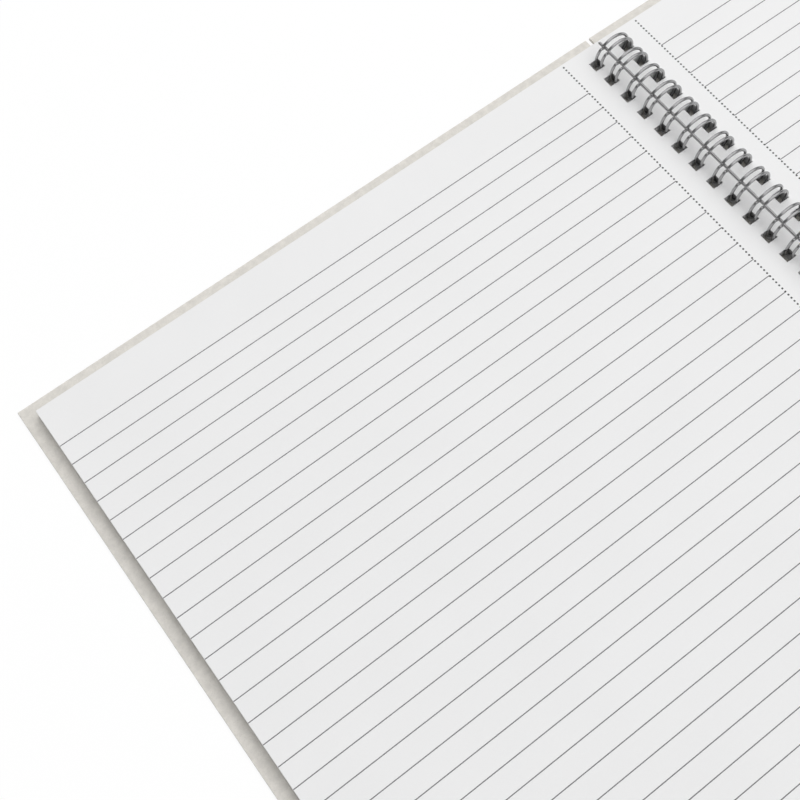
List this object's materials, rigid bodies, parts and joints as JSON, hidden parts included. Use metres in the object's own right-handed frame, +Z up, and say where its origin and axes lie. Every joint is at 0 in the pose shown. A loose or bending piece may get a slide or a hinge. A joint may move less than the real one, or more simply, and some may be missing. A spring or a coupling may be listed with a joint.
{
  "type": "open spiral notebook",
  "caption": "Wire-bound ruled notebook lying open and flat: two stiff covers and two blocks of sheets on one bent wire, each half closing towards the wire's seam.",
  "frame": {"origin": "on the table under the gutter, halfway along the binding", "axes": "+X across the open book towards the right-hand fore edge, +Y along the binding towards the head, +Z up from the table"},
  "size_m": [0.4418, 0.2894, 0.0142],
  "materials": {
    "cover_board": "matt uncoated board with a fine mottle",
    "ruled_paper": "smooth matt writing paper",
    "plated_wire": "satin nickel plate"
  },
  "bodies": {
    "binding": {"binding_wire": "plated_wire"},
    "front_half": {"front_cover": "cover_board", "left_pages": "ruled_paper"},
    "back_half": {"back_cover": "cover_board", "right_pages": "ruled_paper"}
  },
  "joints": [
    {"name": "front_half_hinge", "type": "hinge", "parent": "binding", "child": "front_half", "pos_m": [0.0009, 0, 0.00712], "axis": [0, 1, 0], "range_deg": [0, 49.5]},
    {"name": "back_half_hinge", "type": "hinge", "parent": "binding", "child": "back_half", "pos_m": [0.0009, 0, 0.00712], "axis": [0, -1, 0], "range_deg": [0, 127.5]}
  ]
}
